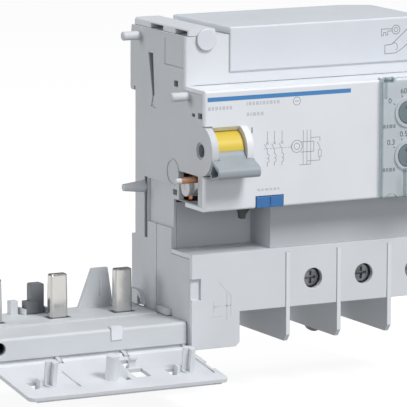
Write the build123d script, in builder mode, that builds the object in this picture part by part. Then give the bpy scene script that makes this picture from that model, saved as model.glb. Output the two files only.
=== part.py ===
from build123d import *
import math
import os

# Residual current add-on block for a 35 mm DIN rail, 6 modules wide, with a
# 4.5 module connection tray that carries three prongs under the breaker.
# X runs to the right from the face that joins the breaker, Y runs to the back
# from the plane of the rail, Z runs up from the centre line of the rail.

os.makedirs("parts", exist_ok=True)

# ---- Driving dimensions, in millimetres ------------------------------------
MODULE = 17.5
POLES = 3
POLE_PITCH = 27.0
TERMINAL_PITCH = 22.0
FIRST_TERMINAL_X = 51.6

BODY_WIDTH = 6 * MODULE
WALL = 1.8
SIDE_PLATE = 2.0
SEAM = 0.1
SHELL_X = SIDE_PLATE + SEAM
RIGHT_WALL_X = BODY_WIDTH - WALL

RAIL_HALF = 17.5
HOOK_DEPTH = 4.2
HOOK_THROAT = 1.2
FOOT_DEPTH = 2.9
FOOT_TOP_Z = -39.0

WINDOW_HALF = 22.5
FRONT_Y = -56.5
PANEL = 2.0
LEDGE_Y = -41.0
LEDGE = 1.5
UPPER_TOP_Z = 41.0

LOWER_Y = -46.6
BAND_Y = -45.6
SHELF_Z = -40.1
FACE_BOTTOM_Z = -62.8
SKIRT_Z = -76.0
NICHE_RIGHT_X = 33.5
NICHE_BACK_Y = -30.0
SPLIT_Y = -28.0
CELL_BACK_Y = -18.0

COLUMN_RIGHT_X = 20.2
COLUMN_BACK_Y = -7.0
FIN = 1.6
FIN_FIT = 0.05
SHELF = 1.6
FIN_FRONT_Y = -47.1
FIN_BACK_Y = -9.0

CAP_LEFT_X = 18.2
CAP_RIGHT_X = 102.0
CAP_BOTTOM_Z = 26.9
CAP_TOP_Z = 43.8
CAP_FRONT_Y = -41.9
CAP_WALL = 1.4

PIVOT_Y = -53.1
CHEEK_RADIUS = 9.4
CHEEK = 2.8
TOGGLE_WIDTH = MODULE
BAY_RIGHT_X = TOGGLE_WIDTH - CHEEK
DRUM_RADIUS = 7.2
DRUM_GAP = 0.3
BAY_TOP_Z = 8.85
AXLE_RADIUS = 1.5
RUNNING_FIT = 0.05

BUTTON_LEFT_X = 21.6
BUTTON_WIDTH = 11.4
BUTTON_TOP_Z = -18.2
BUTTON_FRONT_Y = -56.9

DIAL_X = 86.3
DIAL_Z = (9.6, -6.8)
DIAL_RADIUS = 4.2

COVER_LEFT_X = 73.9
COVER_RIGHT_X = 98.7
COVER_TOP_Z = 23.3
COVER_BOTTOM_Z = -22.3
COVER_SHEET = 1.1
COVER_FRONT_Y = -59.0
COVER_HINGE_Y = -55.4
COVER_HINGE_Z = 22.4
COVER_HINGE_X = (78.0, 94.6)
COVER_KNUCKLE_WIDTH = 4.0

TRAY_LEFT_X = -POLES * POLE_PITCH
TRAY_RIGHT_X = -0.3
TRAY_FRONT_Y = -43.0
TRAY_BACK_Y = 2.0
TRAY_TOP_Z = -65.6
TRAY_BOTTOM_Z = -74.4
TRAY_WALL = 1.5
FIXING_HOLE_X = -77.05
FIXING_HOLE_Z = -69.4
FIXING_HOLE_RADIUS = 2.4

PRONG_Y = -15.5
PRONG_WIDTH = 7.0
PRONG_DEPTH = 3.8
PRONG_EDGE = 0.8
PRONG_TAPER = 1.0
PRONG_TAPER_HEIGHT = 9.0
PRONG_TOP_Z = -48.5

HINGE_Y = -44.2
HINGE_Z = -76.1
HINGE_WEB_Y = -42.4
HINGE_WEB_Z = -77.4
FLAP_TILT = 9.2
FLAP_SHEET = 1.4
FLAP_REACH = 33.8
FLAP_POST_X = (-68.1, -43.4, -12.3)
FLAP_POST_REACH = 22.6
FLAP_POST_RADIUS = 2.4
FLAP_POST_HEIGHT = 9.8
# what stands on the flap nearer to the hinge than this would meet the closed tray
SNAP_REACH = 11.6

BAR_SHEET = 1.6
BAR_WIDTH = 4.4
BAR_RUN_Y = (-11.8, -20.5, -25.6)
BAR_TRAY_Z = -70.0
BAR_RISER_X = 9.2
BAR_UPPER_Z = 2.0

CORE_X = 40.0
CORE_HALF = 5.0
CORE_INNER = 11.4
CORE_OUTER = 15.2
WINDING = 0.8

SCREW_Z = -52.7
SCREW_HOLE_RADIUS = 3.9
SCREW_HEAD_RADIUS = 3.7
SCREW_HEAD_Y = -44.3
SCREW_HEAD_HEIGHT = 1.9
SCREW_SHANK_RADIUS = 2.4

CLAMP_WIDTH = 12.6
CLAMP_HEIGHT = 10.0
CLAMP_FRONT_Y = -36.4
CLAMP_BACK_Y = -22.3
CLAMP_WALL = 1.8
TAIL_Y = -33.0

CLIP_WIDTH = 8.0
CLIP_X = (1.5 * MODULE, 4.5 * MODULE)
CLIP_BOTTOM_Z = -83.6

SCREW_BOSS_X = (15.0, 64.0)
SCREW_BOSS_Z = (30.0, -28.0)

TERMINAL_X = [FIRST_TERMINAL_X + i * TERMINAL_PITCH for i in range(POLES)]
FIN_X = [x - TERMINAL_PITCH / 2 for x in TERMINAL_X]
PRONG_X = [-(i + 0.5) * POLE_PITCH for i in range(POLES)]


# ---- Small helpers ---------------------------------------------------------
def block(x, y, z, mode=Mode.ADD):
    """A box between two corners, each argument a (low, high) pair."""
    centre = (sum(x) / 2, sum(y) / 2, sum(z) / 2)
    with Locations(centre):
        Box(x[1] - x[0], y[1] - y[0], z[1] - z[0], mode=mode)


def rod_x(x, y, z, radius, mode=Mode.ADD):
    with Locations((sum(x) / 2, y, z)):
        Cylinder(radius, x[1] - x[0], rotation=(0, 90, 0), mode=mode)


def rod_y(x, y, z, radius, mode=Mode.ADD):
    with Locations((x, sum(y) / 2, z)):
        Cylinder(radius, y[1] - y[0], rotation=(90, 0, 0), mode=mode)


def side_profile(points, x, mode=Mode.ADD):
    """A closed outline of (Y, Z) points pushed from x[0] to x[1]."""
    with BuildSketch(Plane.YZ.offset(x[0])) as outline:
        with BuildLine():
            Polyline(points, close=True)
        make_face()
    extrude(outline.sketch, amount=x[1] - x[0], mode=mode)


def front_profile(points, y, mode=Mode.ADD):
    """A closed outline of (X, Z) points pushed from y[1] forward to y[0]."""
    with BuildSketch(Plane.XZ.offset(-y[1])) as outline:
        with BuildLine():
            Polyline(points, close=True)
        make_face()
    extrude(outline.sketch, amount=y[1] - y[0], mode=mode)


def front_hole(x, y, z, radius, depth):
    with Locations(Plane(origin=(x, y, z), z_dir=(0, -1, 0))):
        Hole(radius, depth=depth)


def side_hole(x, y, z, radius, depth):
    with Locations(Plane(origin=(x, y, z), z_dir=(-1, 0, 0))):
        Hole(radius, depth=depth)


def coil(start, direction, radius, wire, pitch, turns):
    """A round-wire spring that runs from start along direction."""
    with BuildLine() as path:
        Helix(pitch=pitch, height=pitch * turns, radius=radius, center=start, direction=direction)
    with BuildSketch(Plane(origin=path.line @ 0, z_dir=path.line % 0)) as section:
        Circle(wire / 2)
    sweep(section.sketch, path=path.line)


def save(builder, name):
    builder.part.label = name
    export_step(builder.part, f"parts/{name}.step")


# ---- Rear housing ----------------------------------------------------------
PLATE_TOP_Z = WINDOW_HALF - LEDGE - SEAM
with BuildPart() as rear_housing:
    block((SHELL_X, BODY_WIDTH), (LEDGE_Y, 0), (-WINDOW_HALF, UPPER_TOP_Z))
    block((SHELL_X, BODY_WIDTH), (SPLIT_Y, 0), (SHELF_Z, -WINDOW_HALF))
    block((SHELL_X, BODY_WIDTH), (CELL_BACK_Y, 0), (FACE_BOTTOM_Z, SHELF_Z))
    block((SHELL_X, BODY_WIDTH), (0, HOOK_DEPTH), (RAIL_HALF - HOOK_THROAT, UPPER_TOP_Z))
    block((SHELL_X, BODY_WIDTH), (0, FOOT_DEPTH), (FACE_BOTTOM_Z, FOOT_TOP_Z))
    hook_tip = rear_housing.edges().filter_by(Axis.X).group_by(Axis.Y)[-1]
    fillet(hook_tip, radius=1.2)
    block((SHELL_X, BODY_WIDTH), (0, HOOK_THROAT), (RAIL_HALF - HOOK_THROAT, RAIL_HALF + 0.3),
          mode=Mode.SUBTRACT)
    inside_x = (SIDE_PLATE, RIGHT_WALL_X)
    block(inside_x, (LEDGE_Y, -WALL), (-WINDOW_HALF, UPPER_TOP_Z - WALL), mode=Mode.SUBTRACT)
    block(inside_x, (SPLIT_Y, -WALL), (SHELF_Z, -WINDOW_HALF), mode=Mode.SUBTRACT)
    block(inside_x, (CELL_BACK_Y, -WALL), (FACE_BOTTOM_Z + WALL, SHELF_Z), mode=Mode.SUBTRACT)
    # front wall of the upper box, above the window
    block((SHELL_X, BODY_WIDTH), (LEDGE_Y, LEDGE_Y + WALL), (WINDOW_HALF + SEAM, UPPER_TOP_Z))
    # its flange laps over the side plate
    block((0, SHELL_X + 1), (LEDGE_Y, LEDGE_Y + WALL), (PLATE_TOP_Z + SEAM, UPPER_TOP_Z))
    fillet(rear_housing.edges().filter_by(Axis.Z).group_by(Axis.X)[0].sort_by(Axis.Y)[0], radius=0.7)
    # open floor over the column, for the bars
    block((SIDE_PLATE, COLUMN_RIGHT_X - FIN), (CELL_BACK_Y, -WALL), (FACE_BOTTOM_Z, SHELF_Z),
          mode=Mode.SUBTRACT)
    # cable entries, half of each in this shell
    for x in TERMINAL_X:
        block((x - 5.5, x + 5.5), (CELL_BACK_Y, -17.0), (FACE_BOTTOM_Z, FACE_BOTTOM_Z + WALL),
              mode=Mode.SUBTRACT)
    # channels for the rail clips, with a narrower mouth at the back
    for x in CLIP_X:
        half = CLIP_WIDTH / 2
        block((x - half - 0.3, x + half + 0.3), (0, 2.2), (FACE_BOTTOM_Z, FOOT_TOP_Z),
              mode=Mode.SUBTRACT)
        block((x - half + 0.9, x + half - 0.9), (2.2, FOOT_DEPTH), (FACE_BOTTOM_Z, FOOT_TOP_Z),
              mode=Mode.SUBTRACT)
    # screw bosses that receive the four housing screws
    for x in SCREW_BOSS_X:
        for z in SCREW_BOSS_Z:
            rod_y(x, (SPLIT_Y + 4, -WALL), z, 3.0)
            with Locations(Plane(origin=(x, 0, z), z_dir=(0, 1, 0))):
                CounterSinkHole(1.5, 2.6, depth=20)
    # ribs inside the top wall
    for x in (40.0, 60.0, 88.0):
        block((x - 0.6, x + 0.6), (LEDGE_Y + WALL, -WALL), (UPPER_TOP_Z - 4, UPPER_TOP_Z - WALL))
save(rear_housing, "rear_housing")


# ---- Front cover -----------------------------------------------------------
with BuildPart() as front_cover:
    block((0, BODY_WIDTH), (FRONT_Y, LEDGE_Y - SEAM), (-WINDOW_HALF, WINDOW_HALF))
    rim = front_cover.edges().group_by(Axis.Y)[0]
    fillet(rim, radius=0.9)
    block((-1, RIGHT_WALL_X), (FRONT_Y + PANEL, LEDGE_Y), (1.6 - WINDOW_HALF, WINDOW_HALF - LEDGE),
          mode=Mode.SUBTRACT)
    # right cheek of the toggle bay and the bay itself
    rod_x((BAY_RIGHT_X, TOGGLE_WIDTH), PIVOT_Y, 0, CHEEK_RADIUS)
    bay_half = CHEEK_RADIUS - 0.05
    block((-1, CHEEK + DRUM_GAP), (FRONT_Y - 1, FRONT_Y + PANEL + 0.1), (-bay_half, bay_half),
          mode=Mode.SUBTRACT)
    block((CHEEK, BAY_RIGHT_X), (FRONT_Y - 1, FRONT_Y + PANEL + 0.1), (-bay_half, 0.1),
          mode=Mode.SUBTRACT)
    bevel = [(FRONT_Y - 0.1, BAY_TOP_Z + 0.1), (FRONT_Y - 0.1, 0), (FRONT_Y + PANEL + 0.1, 0),
             (FRONT_Y + PANEL + 0.1, BAY_TOP_Z - PANEL - 0.1)]
    side_profile(bevel, (CHEEK, BAY_RIGHT_X), mode=Mode.SUBTRACT)
    rod_x((CHEEK, BAY_RIGHT_X), PIVOT_Y, 0, DRUM_RADIUS + DRUM_GAP, mode=Mode.SUBTRACT)
    side_hole(BAY_RIGHT_X, PIVOT_Y, 0, AXLE_RADIUS, CHEEK)
    # notch for the test button, open at the bottom edge
    block((BUTTON_LEFT_X - 0.25, BUTTON_LEFT_X + BUTTON_WIDTH + 0.25), (FRONT_Y - 1, -50.4),
          (-WINDOW_HALF - 1, BUTTON_TOP_Z + 0.25), mode=Mode.SUBTRACT)
    # slot in the floor for the interlock tab
    block((15.2, 20.9), (-54.6, -51.5), (-WINDOW_HALF - 1, -20.5), mode=Mode.SUBTRACT)
    # seat for the test button spring
    block((25.0, 29.6), (-47.4, -45.9), (-20.9, -17.2))
    # dial openings inside raised rings
    for z in DIAL_Z:
        rod_y(DIAL_X, (FRONT_Y - 0.7, FRONT_Y), z, DIAL_RADIUS + 1.5)
        front_hole(DIAL_X, FRONT_Y - 0.7, z, DIAL_RADIUS + 0.25, PANEL + 0.8)
    # notches in the ledge for the hinge of the adjustment cover
    for x in COVER_HINGE_X:
        half = COVER_KNUCKLE_WIDTH / 2 + 0.15
        block((x - half, x + half), (FRONT_Y - 1, -54.1), (COVER_HINGE_Z - 1.3, WINDOW_HALF + 1),
              mode=Mode.SUBTRACT)
        rod_x((x - half - 1.5, x + half + 1.5), COVER_HINGE_Y, COVER_HINGE_Z, 1.0)
        block((x - half, x + half), (FRONT_Y - 1, -54.1), (COVER_HINGE_Z - 1.3, WINDOW_HALF + 2),
              mode=Mode.SUBTRACT)
        side_hole(x - half - 1.6, COVER_HINGE_Y, COVER_HINGE_Z, 0.45, 2 * half + 3.2)
    # narrow catch slot beside the toggle
    block((-0.1, 2.0), (FRONT_Y - 0.1, FRONT_Y + 0.8), (-9.9, -9.3), mode=Mode.SUBTRACT)
save(front_cover, "front_cover")


# ---- Left side plate, with the locating pegs that enter the breaker ---------
PLATE_FRONT_Y = FRONT_Y + PANEL + SEAM
PLATE_LOWER_Y = LOWER_Y + WALL + SEAM
PLATE_UPPER_Y = LEDGE_Y + WALL + SEAM
plate_outline = [
    (PLATE_UPPER_Y, UPPER_TOP_Z), (3.2, UPPER_TOP_Z), (HOOK_DEPTH, 34.0),
    (HOOK_DEPTH, RAIL_HALF - 0.4), (HOOK_DEPTH - 1.0, RAIL_HALF - HOOK_THROAT),
    (HOOK_THROAT, RAIL_HALF - HOOK_THROAT), (HOOK_THROAT, RAIL_HALF + 0.3),
    (0, RAIL_HALF + 0.3), (0, FOOT_TOP_Z + 0.6), (FOOT_DEPTH, FOOT_TOP_Z),
    (FOOT_DEPTH, TRAY_TOP_Z + 0.4), (COLUMN_BACK_Y, TRAY_TOP_Z + 0.4), (COLUMN_BACK_Y, SKIRT_Z),
    (PLATE_LOWER_Y, SKIRT_Z), (PLATE_LOWER_Y, SHELF_Z - WALL), (NICHE_BACK_Y, SHELF_Z - WALL),
    (NICHE_BACK_Y, 1.7 - WINDOW_HALF), (PLATE_FRONT_Y, 1.7 - WINDOW_HALF),
    (PLATE_FRONT_Y, PLATE_TOP_Z), (PLATE_UPPER_Y, PLATE_TOP_Z),
]
PEGS = [(-3.0, 37.5, 1.7), (-43.1, 19.1, 1.7), (-7.2, -19.5, 2.4)]

with BuildPart() as left_side_plate:
    side_profile(plate_outline, (0, SIDE_PLATE))
    rod_x((0, CHEEK), PIVOT_Y, 0, CHEEK_RADIUS)
    # bearing for the toggle hub
    side_hole(0, PIVOT_Y, 0, 3.2, CHEEK)
    # shallow recess behind the niche
    block((-0.1, 1.0), (-30.0, -10.6), (-32.3, -15.8), mode=Mode.SUBTRACT)
    # tall tapered window with a shallow lead-out, vent and catch windows
    side_profile([(-14.6, 32.0), (-10.9, 32.0), (-14.2, 15.9), (-15.8, 16.2)], (-0.1, SIDE_PLATE + 0.1),
                 mode=Mode.SUBTRACT)
    side_profile([(-15.8, 16.4), (-14.2, 16.0), (-13.0, 11.8), (-16.7, 11.3)], (-0.1, 0.4),
                 mode=Mode.SUBTRACT)
    windows = [(-33.4, 22.7, 3.2, 2.3), (-47.5, 12.7, 2.4, 1.2), (-53.0, 12.9, 3.9, 2.1),
               (-32.7, -18.2, 3.3, 2.2), (-43.1, -21.3, 4.4, 0.9)]
    for y, z, wide, tall in windows:
        block((-0.1, SIDE_PLATE + 0.1), (y - wide / 2, y + wide / 2), (z - tall / 2, z + tall / 2),
              mode=Mode.SUBTRACT)
    # window for the trip lever and its pin
    block((-0.1, SIDE_PLATE + 0.1), (-51.2, -36.0), (-20.6, -9.7), mode=Mode.SUBTRACT)
    # long slit along the foot
    block((-0.1, SIDE_PLATE + 0.1), (-10.1, -7.7), (-38.8, -15.6), mode=Mode.SUBTRACT)
    # seam line below the recess
    block((-0.1, 0.3), (-17.9, -17.6), (-64.8, -32.3), mode=Mode.SUBTRACT)
    # opening for the bars that come from the tray
    block((-0.1, SIDE_PLATE + 0.1), (-28.4, -8.9), (-71.4, -68.6), mode=Mode.SUBTRACT)
    # small seam panel in the upper front corner
    block((-0.1, 0.4), (-40.0, -24.2), (29.0, 29.4), mode=Mode.SUBTRACT)
    block((-0.1, 0.4), (-24.6, -24.2), (29.4, 39.0), mode=Mode.SUBTRACT)
    # embossed ring under the toggle
    rod_x((-0.3, 0), -31.1, -10.8, 5.0)
    rod_x((-0.4, 0), -31.1, -10.8, 4.4, mode=Mode.SUBTRACT)
    # pegs, the lowest one tapered
    for y, z, radius in PEGS[:2]:
        rod_x((-7.2, 0.5), y, z, radius)
        tip = left_side_plate.edges().filter_by(GeomType.CIRCLE).group_by(Axis.X)[0]
        chamfer(tip, length=0.4)
    y, z, radius = PEGS[2]
    with Locations((-4.3, y, z)):
        Cone(radius, radius * 0.56, 9.0, rotation=(0, -90, 0))
    # block and arched hook that locate the tray
    block((-1.9, 0), (-30.0, -21.5), (-65.3, -62.6))
    block((-1.6, 0), (-4.8, 1.8), (-65.3, -60.7))
    side_profile([(1.8, -60.9), (1.4, -59.7), (-4.0, -59.7), (-6.6, -60.5), (-8.3, -62.2), (-9.3, -64.8),
                  (-7.9, -64.8), (-6.9, -62.9), (-4.8, -61.5)], (-1.6, 0))
save(left_side_plate, "left_side_plate")


# ---- Terminal housing: terminal box and the column on its left ---------------
with BuildPart() as terminal_housing:
    block((0, BODY_WIDTH), (LOWER_Y, CELL_BACK_Y - SEAM), (FACE_BOTTOM_Z, SHELF_Z))
    block((-0.1, RIGHT_WALL_X), (LOWER_Y + WALL, CELL_BACK_Y), (FACE_BOTTOM_Z + 1.6, SHELF_Z - SHELF),
          mode=Mode.SUBTRACT)
    block((-0.1, SHELL_X), (LOWER_Y + WALL, CELL_BACK_Y), (FACE_BOTTOM_Z - 1, SHELF_Z - SHELF),
          mode=Mode.SUBTRACT)
    # column on the left, open to the terminal box above
    block((0, COLUMN_RIGHT_X), (LOWER_Y, COLUMN_BACK_Y), (SKIRT_Z, FACE_BOTTOM_Z - SEAM))
    corner = terminal_housing.edges().filter_by(Axis.Y).group_by(Axis.Z)[0].sort_by(Axis.X)[-1]
    chamfer(corner, length=1.6)
    block((-0.1, COLUMN_RIGHT_X - FIN), (LOWER_Y + WALL, COLUMN_BACK_Y - FIN),
          (SKIRT_Z + FIN, FACE_BOTTOM_Z + 1.7), mode=Mode.SUBTRACT)
    block((-0.1, SHELL_X), (LOWER_Y + WALL, COLUMN_BACK_Y + 1), (SKIRT_Z - 1, FACE_BOTTOM_Z),
          mode=Mode.SUBTRACT)
    block((0, COLUMN_RIGHT_X), (LOWER_Y, LOWER_Y + WALL), (FACE_BOTTOM_Z - 1, FACE_BOTTOM_Z + 1))
    block((-0.1, SIDE_PLATE + SEAM), (NICHE_BACK_Y - 0.1, SPLIT_Y), (SHELF_Z - 2, SHELF_Z + 0.1),
          mode=Mode.SUBTRACT)
    # the shelf ends behind the band, so that the bars drop past it
    block((-0.1, RIGHT_WALL_X), (SPLIT_Y - SEAM, CELL_BACK_Y), (SHELF_Z - 2, SHELF_Z + 0.1),
          mode=Mode.SUBTRACT)
    # slots that take the barriers
    for x in FIN_X:
        half = FIN / 2 + FIN_FIT
        block((x - half, x + half), (LOWER_Y - 1, CELL_BACK_Y), (FACE_BOTTOM_Z - 1, SHELF_Z - SHELF),
              mode=Mode.SUBTRACT)
    # screw holes in the face and cable entries in the floor
    for x in TERMINAL_X:
        front_hole(x, LOWER_Y - 0.1, SCREW_Z, SCREW_HOLE_RADIUS, WALL + 0.2)
        block((x - 5.5, x + 5.5), (-32.4, CELL_BACK_Y), (FACE_BOTTOM_Z - 1, FACE_BOTTOM_Z + 1.7),
              mode=Mode.SUBTRACT)
    # catch notch for the flap in the corner of the column
    block((-0.1, 3.8), (LOWER_Y - 0.1, LOWER_Y + 1.2), (-57.2, -49.2), mode=Mode.SUBTRACT)
save(terminal_housing, "terminal_housing")


# ---- Band and niche between the window box and the terminal box ---------------
BAND_Z = (SHELF_Z + 0.02, -WINDOW_HALF - SEAM)
with BuildPart() as lower_band:
    block((NICHE_RIGHT_X, BODY_WIDTH), (BAND_Y, BAND_Y + WALL), BAND_Z)
    block((RIGHT_WALL_X, BODY_WIDTH), (BAND_Y, SPLIT_Y - SEAM), BAND_Z)
    block((NICHE_RIGHT_X, NICHE_RIGHT_X + WALL), (BAND_Y, NICHE_BACK_Y), BAND_Z)
    block((SHELL_X, NICHE_RIGHT_X + WALL), (NICHE_BACK_Y, SPLIT_Y - SEAM), BAND_Z)
save(lower_band, "lower_band")


# ---- Barriers between the terminals ----------------------------------------------
barrier_outline = [
    (FIN_FRONT_Y, SHELF_Z - SHELF - FIN_FIT), (FIN_FRONT_Y, SKIRT_Z + 2.6), (FIN_FRONT_Y + 2.0, SKIRT_Z),
    (FIN_BACK_Y, SKIRT_Z), (FIN_BACK_Y, FACE_BOTTOM_Z - SEAM), (CELL_BACK_Y - SEAM, FACE_BOTTOM_Z - SEAM),
    (CELL_BACK_Y - SEAM, SHELF_Z - SHELF - FIN_FIT),
]
for i, x in enumerate(FIN_X):
    with BuildPart() as barrier:
        side_profile(barrier_outline, (x - FIN / 2, x + FIN / 2))
    save(barrier, f"terminal_barrier_{i + 1}")


# ---- Upper cap and the bridge beside it --------------------------------------
with BuildPart() as upper_cap:
    block((CAP_LEFT_X, CAP_RIGHT_X), (CAP_FRONT_Y, HOOK_DEPTH), (CAP_BOTTOM_Z, CAP_TOP_Z))
    corner = upper_cap.edges().filter_by(Axis.Z).sort_by(Axis.Y)[-2:].sort_by(Axis.X)[-1]
    chamfer(corner, length=5.5, length2=11.0)
    outer_rim = upper_cap.edges().group_by(Axis.Y)[0] + upper_cap.edges().group_by(Axis.Z)[-1]
    fillet(outer_rim, radius=0.7)
    block((CAP_LEFT_X - 1, CAP_RIGHT_X + 1), (LEDGE_Y - SEAM, HOOK_DEPTH + 1),
          (CAP_BOTTOM_Z - 1, UPPER_TOP_Z + SEAM), mode=Mode.SUBTRACT)
    block((CAP_LEFT_X + CAP_WALL, CAP_RIGHT_X - 6), (LEDGE_Y + CAP_WALL, HOOK_DEPTH - CAP_WALL),
          (UPPER_TOP_Z, CAP_TOP_Z - CAP_WALL), mode=Mode.SUBTRACT)
save(upper_cap, "upper_cap")

BRIDGE_X = (1.2, 12.4)
with BuildPart() as top_bridge:
    block(BRIDGE_X, (-41.2, 3.0), (UPPER_TOP_Z + SEAM, CAP_TOP_Z))
    ridge = top_bridge.edges().filter_by(Axis.Y).group_by(Axis.Z)[-1]
    fillet(ridge, radius=1.2)
    for y in ((-20.6, -10.6), (-40.0, -30.6)):
        block((0, 9.0), y, (UPPER_TOP_Z, CAP_TOP_Z - 0.9), mode=Mode.SUBTRACT)
save(top_bridge, "top_bridge")

with BuildPart() as round_cap:
    rod_y(8.4, (-42.3, LEDGE_Y - SEAM - 0.3), 39.6, 4.1)
    fillet(round_cap.edges().group_by(Axis.Y)[0], radius=0.4)
    rod_y(8.4, (LEDGE_Y - SEAM - 0.3, LEDGE_Y - 0.05), 37.2, 1.2)
save(round_cap, "round_cap")


# ---- Connection tray ----------------------------------------------------------
with BuildPart() as tray_base:
    block((TRAY_LEFT_X, TRAY_RIGHT_X), (TRAY_FRONT_Y, TRAY_BACK_Y), (TRAY_BOTTOM_Z, TRAY_TOP_Z))
    front_rim = tray_base.edges().filter_by(Axis.X).group_by(Axis.Y)[0].group_by(Axis.Z)[-1]
    fillet(front_rim, radius=1.2)
    block((TRAY_LEFT_X + TRAY_WALL, TRAY_RIGHT_X - TRAY_WALL),
          (TRAY_FRONT_Y + TRAY_WALL, TRAY_BACK_Y - TRAY_WALL),
          (TRAY_BOTTOM_Z + TRAY_WALL, TRAY_TOP_Z + 1), mode=Mode.SUBTRACT)
    # way out for the bars
    block((TRAY_RIGHT_X - TRAY_WALL - 1, TRAY_RIGHT_X + 1), (-28.4, -8.9), (-71.4, -68.6),
          mode=Mode.SUBTRACT)
    # round fixing hole in the front wall
    front_hole(FIXING_HOLE_X, TRAY_FRONT_Y - 0.1, FIXING_HOLE_Z, FIXING_HOLE_RADIUS, TRAY_WALL + 0.2)
    # supports under the bars
    for x in (-60.0, -30.0):
        block((x - 1, x + 1), (-29, -8), (TRAY_BOTTOM_Z + TRAY_WALL, BAR_TRAY_Z - BAR_SHEET / 2 - SEAM))
    # web behind the hinge, under a shadow step in the front wall
    block((TRAY_LEFT_X, TRAY_RIGHT_X), (HINGE_WEB_Y, HINGE_WEB_Y + TRAY_WALL),
          (HINGE_WEB_Z, TRAY_BOTTOM_Z + 1))
    block((TRAY_LEFT_X - 1, TRAY_RIGHT_X + 1), (TRAY_FRONT_Y - 1, HINGE_WEB_Y),
          (TRAY_BOTTOM_Z - 0.1, TRAY_BOTTOM_Z + 0.5), mode=Mode.SUBTRACT)
    # hinge lugs for the flap
    for x in (-80.2, -54.0, -27.0, -1.6):
        lug = [(HINGE_Y - 1.6, HINGE_Z - 1.5), (HINGE_Y + 1.6, HINGE_Z - 1.5),
               (HINGE_Y + 4.5, TRAY_BOTTOM_Z), (HINGE_Y + 1.9, TRAY_BOTTOM_Z + 0.5),
               (HINGE_Y - 1.6, HINGE_Z + 1.0)]
        side_profile(lug, (x - 0.8, x + 0.8))
        side_hole(x - 0.9, HINGE_Y, HINGE_Z, 0.75, 1.8)
save(tray_base, "tray_base")

SNAP_X = (-31.8, -27.2)
with BuildPart() as tray_cover:
    block((TRAY_LEFT_X + TRAY_WALL + SEAM, TRAY_RIGHT_X - TRAY_WALL - SEAM),
          (TRAY_FRONT_Y + TRAY_WALL + SEAM, TRAY_BACK_Y - TRAY_WALL - SEAM),
          (TRAY_TOP_Z - 1.6, TRAY_TOP_Z))
    # raised floor around the prongs
    block((TRAY_LEFT_X + 6, -3.0), (-24.0, -1.0), (TRAY_TOP_Z, TRAY_TOP_Z + 0.6))
    for x in PRONG_X:
        block((x - 4.6, x + 4.6), (PRONG_Y - 3.0, PRONG_Y + 3.0), (TRAY_TOP_Z - 2, TRAY_TOP_Z + 1),
              mode=Mode.SUBTRACT)
    # trapezoid guide behind the first prong
    guide = [(-26.6, TRAY_TOP_Z), (-20.6, -50.0), (-14.0, -50.0), (-11.6, TRAY_TOP_Z)]
    front_profile(guide, (-4.4, -2.9))
    side_profile([(-5.0, TRAY_TOP_Z + 5), (-4.4, -53.0), (-4.4, TRAY_TOP_Z + 5)], (-17.4, -16.6))
    # stub post near the far end
    block((-54.3, -51.3), (-3.8, -0.8), (TRAY_TOP_Z, -60.0))
    # relief over the fixing hole
    front_hole(FIXING_HOLE_X, TRAY_FRONT_Y, FIXING_HOLE_Z, FIXING_HOLE_RADIUS + 0.4, 9.0)
    # rails that guide the lock clip
    for x in (-50.0, -40.6):
        block((x - 0.5, x + 0.5), (-7.6, -1.2), (TRAY_TOP_Z + 0.6, TRAY_TOP_Z + 2.8))
    # snap tab over the front wall
    snap_front_y = TRAY_FRONT_Y - 0.4
    block(SNAP_X, (snap_front_y, TRAY_FRONT_Y + TRAY_WALL + 0.5), (TRAY_TOP_Z + SEAM, TRAY_TOP_Z + 0.7))
    block(SNAP_X, (TRAY_FRONT_Y + TRAY_WALL + SEAM, TRAY_FRONT_Y + TRAY_WALL + 0.5),
          (TRAY_TOP_Z - 0.5, TRAY_TOP_Z + 0.7))
    block(SNAP_X, (snap_front_y, TRAY_FRONT_Y - SEAM), (TRAY_TOP_Z - 4.4, TRAY_TOP_Z + 0.7))
save(tray_cover, "tray_cover")

with BuildPart() as tray_lock_clip:
    block((-49.1, -44.0), (-6.6, -2.6), (TRAY_TOP_Z + 0.8, -60.2))
    block((-46.9, -41.5), (-6.0, -2.4), (TRAY_TOP_Z + 0.8, -53.6))
    grip = tray_lock_clip.edges().filter_by(Axis.Y).group_by(Axis.Z)[-1]
    fillet(grip, radius=0.8)
save(tray_lock_clip, "tray_lock_clip")


# ---- Flap over the breaker's terminals -----------------------------------------
# It is drawn flat, running forward from the hinge, then tilted down to its open rest.
FLAP_LEFT_X = TRAY_LEFT_X - 0.2
FLAP_RIGHT_X = -0.5
flap_plane = Plane(origin=(0, HINGE_Y, HINGE_Z), x_dir=(1, 0, 0),
                   z_dir=(0, -math.sin(math.radians(FLAP_TILT)), math.cos(math.radians(FLAP_TILT))))


def flap_block(x, reach, z, mode=Mode.ADD):
    """A box on the flap: x along the hinge, reach forward from it, z above its middle plane."""
    with BuildSketch(flap_plane.offset(z[0])) as outline:
        with Locations((sum(x) / 2, -sum(reach) / 2)):
            Rectangle(x[1] - x[0], reach[1] - reach[0])
    extrude(outline.sketch, amount=z[1] - z[0], mode=mode)


def flap_disc(x, reach, z, radius, mode=Mode.ADD):
    with BuildSketch(flap_plane.offset(z[0])) as outline:
        with Locations((x, -reach)):
            Circle(radius)
    extrude(outline.sketch, amount=z[1] - z[0], mode=mode)


def flap_rib(outline, reach):
    """A rib across the flap from (x, height) points, between two distances from the hinge."""
    tilt = math.radians(FLAP_TILT)
    forward = Vector(0, -math.cos(tilt), -math.sin(tilt))
    with BuildSketch(Plane(origin=flap_plane.origin + forward * reach[0], x_dir=(1, 0, 0),
                           z_dir=forward)) as section:
        with BuildLine():
            Polyline(*outline, close=True)
        make_face()
    extrude(section.sketch, amount=reach[1] - reach[0])


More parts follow.
